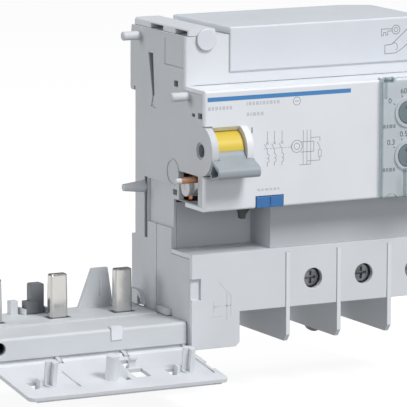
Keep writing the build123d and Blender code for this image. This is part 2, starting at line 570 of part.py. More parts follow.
half_sheet = FLAP_SHEET / 2
with BuildPart() as terminal_flap:
    flap_block((FLAP_LEFT_X, FLAP_RIGHT_X), (2.6, FLAP_REACH), (-half_sheet, half_sheet))
    corners = terminal_flap.edges().filter_by(Axis(flap_plane.origin, flap_plane.z_dir))
    fillet(corners.sort_by(Axis.Y)[:2], radius=2.4)
    # notch at the right edge
    flap_block((FLAP_RIGHT_X - 2.0, FLAP_RIGHT_X + 1), (15.0, 22.5), (-1, 1), mode=Mode.SUBTRACT)
    # knuckles between the hinge lugs
    for x in ((-79.0, -55.2), (-52.8, -28.2), (-25.8, -2.8)):
        flap_block(x, (0, 2.8), (-half_sheet, half_sheet))
        rod_x(x, HINGE_Y, HINGE_Z, 1.4)
        rod_x(x, HINGE_Y, HINGE_Z, 0.75 + RUNNING_FIT, mode=Mode.SUBTRACT)
    # posts that plug into the breaker's screw openings: the middle one round, the others cut away
    for x in FLAP_POST_X:
        flap_disc(x, FLAP_POST_REACH, (half_sheet, FLAP_POST_HEIGHT), FLAP_POST_RADIUS)
    for x in (FLAP_POST_X[0], FLAP_POST_X[2]):
        flap_block((x - 3, x - 0.3), (FLAP_POST_REACH + 0.2, FLAP_POST_REACH + 3),
                   (half_sheet + 0.6, FLAP_POST_HEIGHT + 0.1), mode=Mode.SUBTRACT)
        # tab beside a slot
        flap_block((x - 5.0, x - 3.9), (FLAP_POST_REACH - 1.2, FLAP_POST_REACH + 1.8), (half_sheet, 3.5))
        flap_block((x - 7.5, x - 5.3), (FLAP_POST_REACH - 1.6, FLAP_POST_REACH + 2.4), (-1, 1),
                   mode=Mode.SUBTRACT)
        flap_block((x - 7.5, x - 3.4), (FLAP_POST_REACH - 4.4, FLAP_POST_REACH - 1.5), (-1, 1),
                   mode=Mode.SUBTRACT)
    # gusset and snap hook beside the middle post, over their slots
    flap_rib([(-43.4, half_sheet), (-35.4, half_sheet), (-40.6, 8.2), (-43.4, 8.2)], (20.6, 21.8))
    flap_block((-31.4, -28.6), (SNAP_REACH, SNAP_REACH + 1.2), (half_sheet, 4.4))
    flap_block((-31.4, -28.6), (SNAP_REACH, SNAP_REACH + 1.8), (3.4, 4.4))
    for x, reach in (((-38.5, -36.3), (21.9, 25.0)), ((-33.6, -27.4), (15.0, 23.6)),
                     ((-33.4, -31.7), (9.0, 14.0)), ((-33.4, -28.6), (5.6, SNAP_REACH - 0.6))):
        flap_block(x, reach, (-1, 1), mode=Mode.SUBTRACT)
    # stiffening ribs
    for x in (-57.6, -2.9):
        flap_block((x - 0.4, x + 0.4), (SNAP_REACH, 27.0), (half_sheet, half_sheet + 0.6))
    flap_block((FLAP_LEFT_X + 3, FLAP_RIGHT_X - 3), (FLAP_REACH - 1.0, FLAP_REACH - 0.2),
               (-half_sheet - 0.5, -half_sheet))
save(terminal_flap, "terminal_flap")

with BuildPart() as flap_hinge_pin:
    rod_x((-80.9, -0.9), HINGE_Y, HINGE_Z, 0.75)
save(flap_hinge_pin, "flap_hinge_pin")


# ---- Prongs and bars -------------------------------------------------------------
def make_prong(x):
    """A blunt blade with rounded edges, tapered over its upper part, standing on its bar."""
    foot_z = BAR_TRAY_Z + BAR_SHEET / 2 + 0.02
    taper_z = PRONG_TOP_Z - PRONG_TAPER_HEIGHT
    with BuildPart() as prong:
        with BuildSketch(Plane.XY.offset(foot_z)) as foot:
            with Locations((x, PRONG_Y)):
                RectangleRounded(PRONG_WIDTH, PRONG_DEPTH, PRONG_EDGE)
        extrude(foot.sketch, amount=taper_z - foot_z)
        with BuildSketch(Plane.XY.offset(taper_z)) as shoulder:
            with Locations((x, PRONG_Y)):
                RectangleRounded(PRONG_WIDTH, PRONG_DEPTH, PRONG_EDGE)
        extrude(shoulder.sketch, amount=PRONG_TAPER_HEIGHT, taper=PRONG_TAPER)
        chamfer(prong.edges().group_by(Axis.Z)[-1], length=0.4)
    return prong


def make_bar(prong_x, run_y, terminal_x):
    """One copper bar from under its prong, up the column, through the core to its terminal."""
    half = BAR_SHEET / 2
    wide = BAR_WIDTH / 2
    tray = (BAR_TRAY_Z - half, BAR_TRAY_Z + half)
    upper = (BAR_UPPER_Z - half, BAR_UPPER_Z + half)
    run = (run_y - wide, run_y + wide)
    tab_y = (min(run[0], PRONG_Y - 2.1), max(run[1], PRONG_Y + 2.1))
    riser_x = (BAR_RISER_X - half, BAR_RISER_X + half)
    tail_z = (SCREW_Z - 4.6, -43.4)
    with BuildPart() as bar:
        block((prong_x - 4, prong_x + 4), tab_y, tray)
        block((prong_x, riser_x[1]), run, tray)
        block(riser_x, run, (tray[0], upper[1]))
        block((riser_x[0], terminal_x + half), run, upper)
        block((terminal_x - half, terminal_x + half), run, (tail_z[1] - BAR_SHEET, upper[1]))
        block((terminal_x - 4, terminal_x + 4), (TAIL_Y - 1, run[1]), (tail_z[1] - BAR_SHEET, tail_z[1]))
        block((terminal_x - 4, terminal_x + 4), (TAIL_Y - 1, TAIL_Y + 1), tail_z)
    return bar


for i in range(POLES):
    save(make_prong(PRONG_X[i]), f"prong_{i + 1}")
    save(make_bar(PRONG_X[i], BAR_RUN_Y[i], TERMINAL_X[i]), f"busbar_{i + 1}")


# ---- Terminals ---------------------------------------------------------------------
def make_clamp(x):
    """A box clamp, open at top and bottom, that rides along its screw."""
    with BuildPart() as clamp:
        block((x - CLAMP_WIDTH / 2, x + CLAMP_WIDTH / 2), (CLAMP_FRONT_Y, CLAMP_BACK_Y),
              (SCREW_Z - CLAMP_HEIGHT / 2, SCREW_Z + CLAMP_HEIGHT / 2))
        fillet(clamp.edges().filter_by(Axis.Z), radius=1.0)
        block((x - CLAMP_WIDTH / 2 + CLAMP_WALL, x + CLAMP_WIDTH / 2 - CLAMP_WALL),
              (CLAMP_FRONT_Y + 2.0, CLAMP_BACK_Y - CLAMP_WALL), (SCREW_Z - 6, SCREW_Z + 6),
              mode=Mode.SUBTRACT)
        front_hole(x, CLAMP_FRONT_Y, SCREW_Z, SCREW_SHANK_RADIUS + RUNNING_FIT, 2.0)
    return clamp


def make_terminal_screw(x):
    """A cheese-head screw with a cross recess, its tip against the bar."""
    head = (SCREW_HEAD_Y, SCREW_HEAD_Y + SCREW_HEAD_HEIGHT)
    with BuildPart() as screw:
        rod_y(x, head, SCREW_Z, SCREW_HEAD_RADIUS)
        chamfer(screw.edges().group_by(Axis.Y)[0], length=0.4)
        rod_y(x, (head[1], TAIL_Y - 1.1), SCREW_Z, SCREW_SHANK_RADIUS)
        block((x - 2.3, x + 2.3), (head[0] - 0.1, head[0] + 1.2), (SCREW_Z - 0.5, SCREW_Z + 0.5),
              mode=Mode.SUBTRACT)
        block((x - 0.5, x + 0.5), (head[0] - 0.1, head[0] + 1.2), (SCREW_Z - 2.3, SCREW_Z + 2.3),
              mode=Mode.SUBTRACT)
    return screw


for i in range(POLES):
    save(make_clamp(TERMINAL_X[i]), f"terminal_clamp_{i + 1}")
    save(make_terminal_screw(TERMINAL_X[i]), f"terminal_screw_{i + 1}")


# ---- Toggle ---------------------------------------------------------------------------
drum_x = (CHEEK + DRUM_GAP, BAY_RIGHT_X - DRUM_GAP)
# the thumb surface runs off the drum and rolls over into the nose
THUMB_CURVE = [(-60.29, 0.4), (-61.9, -2.0), (-64.9, -3.9), (-67.5, -5.4), (-67.9, -7.6), (-66.2, -8.9)]
GRIP_BACK = [(-66.2, -8.9), (-61.9, -9.7), (-60.2, -7.0), (-56.4, -5.9), (-58.4, 0.4), (-60.29, 0.4)]


def grip(x, mode=Mode.ADD):
    """The handle's section between two depths along the toggle's axis."""
    with BuildSketch(Plane(origin=(x[0], 0, 0), x_dir=(0, 1, 0), z_dir=(1, 0, 0))) as section:
        with BuildLine():
            Spline(*THUMB_CURVE)
            Polyline(*GRIP_BACK)
        make_face()
    extrude(section.sketch, amount=x[1] - x[0], mode=mode)


with BuildPart() as toggle_drum:
    rod_x(drum_x, PIVOT_Y, 0, DRUM_RADIUS)
    # hub that turns in the side plate, with the socket for the tie bar
    rod_x((0.4, drum_x[0]), PIVOT_Y, 0, 3.2 - RUNNING_FIT)
    rod_x((0.3, 6.5), PIVOT_Y, 0, 2.5, mode=Mode.SUBTRACT)
    # bore for the axle and pocket for the return spring
    rod_x((8.0, drum_x[1] + 0.1), PIVOT_Y, 0, AXLE_RADIUS + RUNNING_FIT, mode=Mode.SUBTRACT)
    rod_x((11.4, drum_x[1] + 0.1), PIVOT_Y, 0, 4.6, mode=Mode.SUBTRACT)
    # seat of the handle's neck
    grip(drum_x, mode=Mode.SUBTRACT)
save(toggle_drum, "toggle_drum")

GRIP_HOLLOW = [(-62.7, -4.1), (-64.7, -4.9), (-66.8, -6.3), (-66.9, -7.3), (-65.8, -8.0), (-62.2, -8.7),
               (-61.0, -7.4)]
with BuildPart() as toggle_handle:
    grip((0.1, TOGGLE_WIDTH - 0.1))
    side_profile(GRIP_HOLLOW, (-1, 3.4), mode=Mode.SUBTRACT)
    # the grip clears the cheeks it swings past
    rod_x((-1, drum_x[0]), PIVOT_Y, 0, CHEEK_RADIUS + 0.3, mode=Mode.SUBTRACT)
    rod_x((drum_x[1], TOGGLE_WIDTH + 1), PIVOT_Y, 0, CHEEK_RADIUS + 0.3, mode=Mode.SUBTRACT)
save(toggle_handle, "toggle_handle")

with BuildPart() as toggle_axle:
    rod_x((8.2, TOGGLE_WIDTH - 0.3), PIVOT_Y, 0, AXLE_RADIUS)
save(toggle_axle, "toggle_axle")

with BuildPart() as toggle_spring:
    coil((11.9, PIVOT_Y, 0), (1, 0, 0), 2.9, 0.5, 0.62, 3)
save(toggle_spring, "toggle_spring")


# ---- Trip lever, its pin and pivot ------------------------------------------------------
LEVER_Y = -40.0
LEVER_Z = -15.2
PIN_Y = -48.9
PIN_Z = -11.3
PIN_TIP_X = -5.9
with BuildPart() as trip_lever:
    rod_x((0.5, 6.0), LEVER_Y, LEVER_Z, 3.6)
    with BuildSketch(Plane.YZ.offset(2.4)):
        with BuildLine():
            Polyline([(LEVER_Y - 1.2, LEVER_Z + 3.3), (PIN_Y - 0.6, PIN_Z + 2.0),
                      (PIN_Y - 2.0, PIN_Z - 0.6), (PIN_Y + 0.8, PIN_Z - 2.2),
                      (LEVER_Y - 1.2, LEVER_Z - 3.3)], close=True)
        make_face()
    extrude(amount=2.4)
    rod_x((0, 7), LEVER_Y, LEVER_Z, 1.0 + RUNNING_FIT, mode=Mode.SUBTRACT)
    rod_x((2, 7), PIN_Y, PIN_Z, 1.15, mode=Mode.SUBTRACT)
save(trip_lever, "trip_lever")

with BuildPart() as trip_pin:
    rod_x((PIN_TIP_X, 4.8), PIN_Y, PIN_Z, 1.15)
    rod_x((-8.0, PIN_TIP_X), PIN_Y, PIN_Z, 1.0)
save(trip_pin, "trip_pin")

with BuildPart() as trip_lever_pivot:
    rod_x((0.6, 14.0), LEVER_Y, LEVER_Z, 1.0)
    block((11.0, 14.0), (LEVER_Y - 2, LEVER_Y + 2), (LEVER_Z - 5.5, LEVER_Z + 2))
save(trip_lever_pivot, "trip_lever_pivot")


# ---- Test button and its contact ----------------------------------------------------------
button_x = (BUTTON_LEFT_X, BUTTON_LEFT_X + BUTTON_WIDTH)
BUTTON_MID_X = sum(button_x) / 2
with BuildPart() as test_button:
    block(button_x, (BUTTON_FRONT_Y, -53.6), (-WINDOW_HALF + 0.1, BUTTON_TOP_Z))
    fillet(test_button.edges().group_by(Axis.Y)[0], radius=0.35)
    block((BUTTON_MID_X - 0.3, BUTTON_MID_X + 0.3), (BUTTON_FRONT_Y - 0.1, BUTTON_FRONT_Y + 0.3),
          (-21.6, -18.6), mode=Mode.SUBTRACT)
    # collar behind the panel and stem inside the spring
    block(button_x, (-54.1, -53.3), (-20.4, BUTTON_TOP_Z + 1.0))
    rod_y(BUTTON_MID_X, (-53.4, -50.6), -19.2, 0.9)
save(test_button, "test_button")

with BuildPart() as test_spring:
    coil((BUTTON_MID_X, -47.7, -19.2), (0, -1, 0), 1.45, 0.35, 1.3, 4)
save(test_spring, "test_spring")

with BuildPart() as test_contact:
    block((30.4, 32.6), (-49.8, -49.4), (-20.2, -12.0))
    block((30.4, 32.6), (-49.8, -45.0), (-12.4, -12.0))
save(test_contact, "test_contact")


# ---- Interlock tab under the window ---------------------------------------------------------
with BuildPart() as interlock_tab:
    tab = [(15.6, -22.6), (16.3, -24.6), (16.5, -26.4), (18.3, -26.4), (18.6, -24.9), (20.6, -22.6),
           (20.6, -17.5), (15.6, -17.5)]
    front_profile(tab, (-54.2, -51.9))
save(interlock_tab, "interlock_tab")


# ---- Dials and their cover ---------------------------------------------------------------------
def make_dial(z):
    """A dial with an arrow slot, on a shaft that enters its potentiometer."""
    with BuildPart() as dial:
        rod_y(DIAL_X, (-57.3, -54.4), z, DIAL_RADIUS)
        fillet(dial.edges().group_by(Axis.Y)[0], radius=0.3)
        block((DIAL_X - 0.55, DIAL_X + 0.55), (-57.5, -56.3), (z - 3.2, z + 3.2), mode=Mode.SUBTRACT)
        arrow = [(DIAL_X - 1.5, z + 1.7), (DIAL_X + 1.5, z + 1.7), (DIAL_X, z + 3.6)]
        front_profile(arrow, (-57.5, -56.3), mode=Mode.SUBTRACT)
        rod_y(DIAL_X, (-54.4, -50.6), z, 1.5)
    return dial


for z, name in zip(DIAL_Z, ("delay_dial", "sensitivity_dial")):
    save(make_dial(z), name)

with BuildPart() as adjustment_cover:
    block((COVER_LEFT_X, COVER_RIGHT_X), (COVER_FRONT_Y, FRONT_Y - 0.15), (COVER_BOTTOM_Z, COVER_TOP_Z))
    fillet(adjustment_cover.edges().filter_by(Axis.Y), radius=0.8)
    block((COVER_LEFT_X + COVER_SHEET, COVER_RIGHT_X - COVER_SHEET),
          (COVER_FRONT_Y + COVER_SHEET, FRONT_Y), (COVER_BOTTOM_Z - 1, COVER_TOP_Z + 1),
          mode=Mode.SUBTRACT)
    # finger notch and the sealing boss
    front_hole(78.4, COVER_FRONT_Y, COVER_BOTTOM_Z - 0.6, 2.2, COVER_SHEET)
    block((83.2, 89.4), (COVER_FRONT_Y - 2.0, COVER_FRONT_Y), (COVER_BOTTOM_Z, -11.4))
    block((84.1, 88.5), (COVER_FRONT_Y - 1.1, COVER_FRONT_Y + 2), (COVER_BOTTOM_Z + 0.9, -12.3),
          mode=Mode.SUBTRACT)
    block((84.8, 87.8), (COVER_FRONT_Y - 3.0, COVER_FRONT_Y), (-18.9, -17.5), mode=Mode.SUBTRACT)
    # slot that frees the hinge arm
    block((75.4, 75.9), (COVER_FRONT_Y - 0.1, FRONT_Y), (15.6, COVER_TOP_Z + 1), mode=Mode.SUBTRACT)
    # hinge arms and knuckles
    for x in COVER_HINGE_X:
        half = COVER_KNUCKLE_WIDTH / 2
        block((x - half, x + half), (COVER_FRONT_Y, COVER_HINGE_Y), (COVER_HINGE_Z - 0.5, COVER_TOP_Z))
        rod_x((x - half, x + half), COVER_HINGE_Y, COVER_HINGE_Z, 0.9)
        rod_x((x - half, x + half), COVER_HINGE_Y, COVER_HINGE_Z, 0.45 + RUNNING_FIT, mode=Mode.SUBTRACT)
save(adjustment_cover, "adjustment_cover")

with BuildPart() as cover_hinge_pins:
    for x in COVER_HINGE_X:
        half = COVER_KNUCKLE_WIDTH / 2 + 1.4
        rod_x((x - half, x + half), COVER_HINGE_Y, COVER_HINGE_Z, 0.45)
save(cover_hinge_pins, "cover_hinge_pins")


# ---- Inside: core, relay and electronics -----------------------------------------------------------
CORE_Y = sum(BAR_RUN_Y[::2]) / 2
with BuildPart() as toroid_core:
    rod_x((CORE_X - CORE_HALF, CORE_X + CORE_HALF), CORE_Y, BAR_UPPER_Z, CORE_OUTER)
    rod_x((CORE_X - CORE_HALF - 1, CORE_X + CORE_HALF + 1), CORE_Y, BAR_UPPER_Z, CORE_INNER,
          mode=Mode.SUBTRACT)
save(toroid_core, "toroid_core")

with BuildPart() as toroid_winding:
    gap = 0.1
    core_mid = (CORE_INNER + CORE_OUTER) / 2
    core_thick = CORE_OUTER - CORE_INNER
    winding_plane = Plane(origin=(CORE_X, CORE_Y, BAR_UPPER_Z), x_dir=(0, 0, 1), z_dir=(0, -1, 0))
    with BuildSketch(winding_plane):
        with Locations((core_mid, 0)):
            RectangleRounded(core_thick + 2 * (gap + WINDING), 2 * (CORE_HALF + gap + WINDING), 0.7)
            Rectangle(core_thick + 2 * gap, 2 * (CORE_HALF + gap), mode=Mode.SUBTRACT)
    revolve(axis=Axis((CORE_X, CORE_Y, BAR_UPPER_Z), (1, 0, 0)), revolution_arc=300)
save(toroid_winding, "toroid_winding")

RELAY_LEFT_X = 24.6
RELAY_WIDTH = 14.0
PLUNGER_Y = -45.0
PLUNGER_Z = -5.0
PLUNGER_RADIUS = 1.0
PLUNGER_HEAD_X = (RELAY_LEFT_X - 4.4, RELAY_LEFT_X - 3.6)
with BuildPart() as trip_relay:
    block((RELAY_LEFT_X, RELAY_LEFT_X + RELAY_WIDTH), (-52.0, -38.0), (-9.0, 12.0))
    fillet(trip_relay.edges().filter_by(Axis.Z), radius=1.0)
    side_hole(RELAY_LEFT_X, PLUNGER_Y, PLUNGER_Z, PLUNGER_RADIUS + 0.1, 9.0)
save(trip_relay, "trip_relay")

with BuildPart() as relay_plunger:
    rod_x((PLUNGER_HEAD_X[0], RELAY_LEFT_X + 6.5), PLUNGER_Y, PLUNGER_Z, PLUNGER_RADIUS)
    rod_x(PLUNGER_HEAD_X, PLUNGER_Y, PLUNGER_Z, PLUNGER_RADIUS + 0.9)
save(relay_plunger, "relay_plunger")

with BuildPart() as relay_spring:
    coil((PLUNGER_HEAD_X[1] + 0.3, PLUNGER_Y, PLUNGER_Z), (1, 0, 0), PLUNGER_RADIUS + 0.45, 0.3, 0.95, 3)
save(relay_spring, "relay_spring")

with BuildPart() as circuit_board:
    block((75.0, 102.0), (-50.0, -48.4), (-19.0, 19.0))
    for z in DIAL_Z:
        front_hole(DIAL_X, -50.1, z, 1.8, 1.8)
save(circuit_board, "circuit_board")

with BuildPart() as potentiometers:
    for z in DIAL_Z:
        rod_y(DIAL_X, (-53.9, -50.05), z, 3.9)
        rod_y(DIAL_X, (-54.5, -50.0), z, 1.5 + RUNNING_FIT, mode=Mode.SUBTRACT)
save(potentiometers, "potentiometers")

with BuildPart() as filter_capacitor:
    rod_y(80.5, (-48.3, -36.0), 12.0, 4.0)
    fillet(filter_capacitor.edges().group_by(Axis.Y)[-1], radius=0.8)
save(filter_capacitor, "filter_capacitor")

with BuildPart() as supply_transformer:
    block((86.0, 100.0), (-48.3, -36.0), (3.0, 17.0))
    chamfer(supply_transformer.edges().group_by(Axis.Y)[-1], length=1.0)
save(supply_transformer, "supply_transformer")


# ---- Rail clips, springs and housing screws --------------------------------------------------------
def make_rail_clip(x):
    """A sliding clip: hook under the rail, shank in its channel, rounded pull tab below."""
    half = CLIP_WIDTH / 2
    with BuildPart() as clip:
        block((x - half, x + half), (0.2, 2.0), (CLIP_BOTTOM_Z + half, -RAIL_HALF - 0.3))
        rod_y(x, (0.2, 2.0), CLIP_BOTTOM_Z + half, half)
        side_profile([(1.3, -RAIL_HALF - 2.6), (1.3, -RAIL_HALF + 1.6), (2.4, -RAIL_HALF + 1.0),
                      (4.0, -RAIL_HALF - 1.4), (2.0, -RAIL_HALF - 2.6)], (x - half, x + half))
        block((x - half + 1.2, x + half - 1.2), (1.9, 2.8), (CLIP_BOTTOM_Z + half, -RAIL_HALF - 2.4))
        block((x - 1.4, x + 1.4), (-0.1, 3.1), (CLIP_BOTTOM_Z + 2.6, CLIP_BOTTOM_Z + 5.2),
              mode=Mode.SUBTRACT)
    return clip


for x, side in zip(CLIP_X, ("left", "right")):
    save(make_rail_clip(x), f"rail_clip_{side}")

with BuildPart() as housing_screws:
    for x in SCREW_BOSS_X:
        for z in SCREW_BOSS_Z:
            with Locations(Plane(origin=(x, -0.7, z), z_dir=(0, 1, 0))):
                Cone(1.45, 2.5, 1.2)
            rod_y(x, (-18.0, -1.2), z, 1.4)
            block((x - 1.6, x + 1.6), (-0.5, 0.1), (z - 0.3, z + 0.3), mode=Mode.SUBTRACT)
save(housing_screws, "housing_screws")
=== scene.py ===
import math

import bmesh
import bpy
from mathutils import Matrix, Vector


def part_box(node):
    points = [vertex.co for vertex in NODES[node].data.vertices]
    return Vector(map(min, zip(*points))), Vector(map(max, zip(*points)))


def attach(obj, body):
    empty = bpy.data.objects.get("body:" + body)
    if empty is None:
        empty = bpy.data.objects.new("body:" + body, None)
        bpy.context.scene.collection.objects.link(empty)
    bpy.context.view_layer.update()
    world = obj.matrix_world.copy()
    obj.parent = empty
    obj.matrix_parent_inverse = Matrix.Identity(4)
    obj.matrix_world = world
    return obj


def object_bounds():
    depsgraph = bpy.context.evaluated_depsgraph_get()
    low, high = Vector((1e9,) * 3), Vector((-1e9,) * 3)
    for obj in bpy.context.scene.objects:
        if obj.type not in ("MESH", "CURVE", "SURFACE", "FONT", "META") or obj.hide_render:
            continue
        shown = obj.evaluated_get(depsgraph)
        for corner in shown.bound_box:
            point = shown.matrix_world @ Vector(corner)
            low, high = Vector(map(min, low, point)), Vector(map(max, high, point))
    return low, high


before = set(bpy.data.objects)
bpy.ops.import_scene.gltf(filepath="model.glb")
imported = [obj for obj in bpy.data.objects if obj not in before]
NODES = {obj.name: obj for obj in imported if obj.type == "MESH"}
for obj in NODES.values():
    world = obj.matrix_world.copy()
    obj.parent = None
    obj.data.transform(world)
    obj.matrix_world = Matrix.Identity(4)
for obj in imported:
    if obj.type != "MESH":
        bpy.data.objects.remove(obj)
cad_lo, cad_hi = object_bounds()
MM = 0.001
ROOT = "housing"


# ---- Materials ------------------------------------------------------------------
# texture scales, in cycles a metre
CLEAR_SWELL = 60
FLOW_MARKS = 55
WAVINESS = 190
STAINS_AND_SHADE = 260
RUBBING_AND_HIGHLIGHT = 420
BOARD_TRACKS = 420
WIRE_TURNS = 620
CLEAR_GLOSS = 700
WIRE_GLOSS = 800
GLOSS = 900
INK_PATCHES = 1600
INK_GLOSS = 2200
SCRATCHES = 2400
SPARK_GRAIN = 5200


def srgb(r, g, b):
    """Display values from 0 to 255 as a linear colour."""
    out = []
    for v in (r, g, b):
        v /= 255
        out.append(v / 12.92 if v <= 0.04045 else ((v + 0.055) / 1.055) ** 2.4)
    return (*out, 1.0)


class Graph:
    """A material's node tree with short ways to add and join nodes."""

    def __init__(self, name):
        self.material = bpy.data.materials.new(name)
        self.material.use_nodes = True
        self.tree = self.material.node_tree
        self.shader = self.tree.nodes["Principled BSDF"]
        self.coords = self.add("ShaderNodeTexCoord").outputs["Object"]

    def add(self, kind, **settings):
        """A new node with the given settings."""
        node = self.tree.nodes.new(kind)
        for key, value in settings.items():
            setattr(node, key, value)
        return node

    def join(self, source, target):
        self.tree.links.new(source, target)

    def noise(self, scale, detail=2.0, stretch=None):
        """Noise fixed to the object, stretched along some axes where stretch says."""
        node = self.add("ShaderNodeTexNoise")
        node.inputs["Scale"].default_value = scale
        node.inputs["Detail"].default_value = detail
        if stretch is None:
            self.join(self.coords, node.inputs["Vector"])
        else:
            mapping = self.add("ShaderNodeMapping")
            mapping.inputs["Scale"].default_value = stretch
            self.join(self.coords, mapping.inputs["Vector"])
            self.join(mapping.outputs["Vector"], node.inputs["Vector"])
        return node.outputs["Fac"]

    def span(self, value, low, high, start=0.3, end=0.7):
        """Maps a factor from start..end to low..high."""
        node = self.add("ShaderNodeMapRange")
        node.inputs["From Min"].default_value = start
        node.inputs["From Max"].default_value = end
        node.inputs["To Min"].default_value = low
        node.inputs["To Max"].default_value = high
        self.join(value, node.inputs["Value"])
        return node.outputs["Result"]

    def mix(self, factor, a, b):
        """Blends two colours, each of which is a plain colour or another node's output."""
        node = self.add("ShaderNodeMix", data_type="RGBA")
        for socket, value in ((node.inputs[6], a), (node.inputs[7], b)):
            if isinstance(value, tuple):
                socket.default_value = value
            else:
                self.join(value, socket)
        self.join(factor, node.inputs[0])
        return node.outputs[2]

    def edges(self, radius):
        """Close to 1 along sharp edges and 0 elsewhere."""
        rounded = self.add("ShaderNodeBevel", samples=4)
        rounded.inputs["Radius"].default_value = radius
        flat = self.add("ShaderNodeNewGeometry").outputs["True Normal"]
        dot = self.add("ShaderNodeVectorMath", operation="DOT_PRODUCT")
        self.join(rounded.outputs["Normal"], dot.inputs[0])
        self.join(flat, dot.inputs[1])
        return self.span(dot.outputs["Value"], 1.0, 0.0, 0.80, 0.995), rounded.outputs["Normal"]

    def bump(self, layers, normal=None):
        """Stacks (height, distance, strength) layers and joins the last to the shader."""
        for height, distance, strength in layers:
            node = self.add("ShaderNodeBump")
            node.inputs["Distance"].default_value = distance
            node.inputs["Strength"].default_value = strength
            self.join(height, node.inputs["Height"])
            if normal is not None:
                self.join(normal, node.inputs["Normal"])
            normal = node.outputs["Normal"]
        self.join(normal, self.shader.inputs["Normal"])


def tint(colour, factor):
    """A colour made darker or lighter."""
    return (*[min(1.0, c * factor) for c in colour[:3]], 1.0)


def moulded(name, colour, rough=0.42, wear_and_highlight=1.12, fade=0.05, edge_width=0.0003):
    """Moulded plastic: a fine spark-eroded grain, slight flow marks and paler edges, which are partly
    rubbed wear and partly a painted highlight.
    """
    g = Graph(name)
    flow = g.noise(FLOW_MARKS, 3.0)
    body = g.mix(flow, tint(colour, 1 - fade), tint(colour, 1 + fade))
    rim, rounded = g.edges(edge_width)
    rubbed_and_lit = g.noise(RUBBING_AND_HIGHLIGHT, 3.0)
    # paler edges: partly rubbed wear, partly a painted highlight along the edges
    mask = g.add("ShaderNodeMath", operation="MULTIPLY")
    g.join(rim, mask.inputs[0])
    g.join(g.span(rubbed_and_lit, 0.15, 0.9, 0.35, 0.65), mask.inputs[1])
    g.join(g.mix(mask.outputs[0], body, tint(colour, wear_and_highlight)), g.shader.inputs["Base Color"])
    g.join(g.span(g.noise(GLOSS), rough - 0.06, rough + 0.07), g.shader.inputs["Roughness"])
    g.bump([(g.noise(SPARK_GRAIN), 0.00003, 0.175), (g.noise(WAVINESS), 0.00006, 0.125)], rounded)
    return g.material


def metal(name, colour, rough=0.25, brushed=(1, 1, 1), tarnish_and_shade=None, amount=0.35, edge=1.2,
          edge_width=0.00015, scratched=0.35):
    """Plated or drawn metal with fine scratches, darker patches and paler or darker edges. Faint patches
    are tarnish, deep near-black ones are painted shade, and edges darker than the face are a painted
    reflection.
    """
    g = Graph(name)
    g.shader.inputs["Metallic"].default_value = 1.0
    stain_and_shade = g.noise(STAINS_AND_SHADE, 4.0)
    darker = tarnish_and_shade or tint(colour, 0.62)
    face = g.mix(g.span(stain_and_shade, 0.0, amount, 0.45, 0.75), colour, darker)
    rim, rounded = g.edges(edge_width)
    g.join(g.mix(rim, face, tint(colour, edge)), g.shader.inputs["Base Color"])
    scratch = g.noise(SCRATCHES, 3.0, stretch=brushed)
    g.join(g.span(scratch, rough * 0.7, rough * 1.5), g.shader.inputs["Roughness"])
    g.bump([(scratch, 0.00001, scratched)], rounded)
    return g.material


def clear_plastic(name):
    """Clear polycarbonate: see-through face on, glossier towards its edges."""
    g = Graph(name)
    g.shader.inputs["IOR"].default_value = 1.58
    g.join(g.span(g.noise(CLEAR_GLOSS), 0.03, 0.09), g.shader.inputs["Roughness"])
    facing = g.add("ShaderNodeLayerWeight")
    facing.inputs["Blend"].default_value = 0.35
    rim, rounded = g.edges(0.0004)
    thick = g.add("ShaderNodeMath", operation="MAXIMUM")
    g.join(g.span(facing.outputs["Facing"], 0.0, 0.8, 0.12, 0.75), thick.inputs[0])
    g.join(g.span(rim, 0.0, 0.7, 0.1, 1.0), thick.inputs[1])
    g.join(g.span(thick.outputs[0], 0.08, 0.95, 0.0, 1.0), g.shader.inputs["Alpha"])
    g.join(g.mix(thick.outputs[0], srgb(150, 178, 186), srgb(104, 140, 144)), g.shader.inputs["Base Color"])
    g.bump([(g.noise(CLEAR_SWELL), 0.00005, 0.12)], rounded)
    return g.material


def printed(name, colour, rough=0.5):
    """Pad-printed ink, slightly uneven."""
    g = Graph(name)
    patchy = g.noise(INK_PATCHES)
    g.join(g.mix(patchy, tint(colour, 0.94), tint(colour, 1.06)), g.shader.inputs["Base Color"])
    g.join(g.span(g.noise(INK_GLOSS), rough - 0.08, rough + 0.08), g.shader.inputs["Roughness"])
    g.bump([(patchy, 0.00001, 0.3)])
    return g.material


def circuit_laminate(name):
    """Green board with slightly raised copper tracks under its lacquer."""
    g = Graph(name)
    tracks = g.add("ShaderNodeTexVoronoi", feature="DISTANCE_TO_EDGE")
    tracks.inputs["Scale"].default_value = BOARD_TRACKS
    g.join(g.coords, tracks.inputs["Vector"])
    mask = g.span(tracks.outputs["Distance"], 1.0, 0.0, 0.02, 0.06)
    g.join(g.mix(mask, srgb(16, 92, 52), srgb(46, 132, 84)), g.shader.inputs["Base Color"])
    g.join(g.span(g.noise(GLOSS), 0.28, 0.42), g.shader.inputs["Roughness"])
    g.bump([(mask, 0.00003, 0.5)])
    return g.material


def wound_wire(name, colour, direction):
    """Enamelled wire laid turn against turn."""
    g = Graph(name)
    g.shader.inputs["Metallic"].default_value = 0.85
    wave = g.add("ShaderNodeTexWave", bands_direction=direction)
    wave.inputs["Scale"].default_value = WIRE_TURNS
    wave.inputs["Distortion"].default_value = 0.6
    g.join(g.coords, wave.inputs["Vector"])
    # the wire is darkened to 45% in the grooves between turns: painted shade
    g.join(g.mix(wave.outputs["Fac"], tint(colour, 0.45), colour), g.shader.inputs["Base Color"])
    g.join(g.span(g.noise(WIRE_GLOSS), 0.26, 0.40), g.shader.inputs["Roughness"])
    g.bump([(wave.outputs["Fac"], 0.0002, 0.6)])
    return g.material


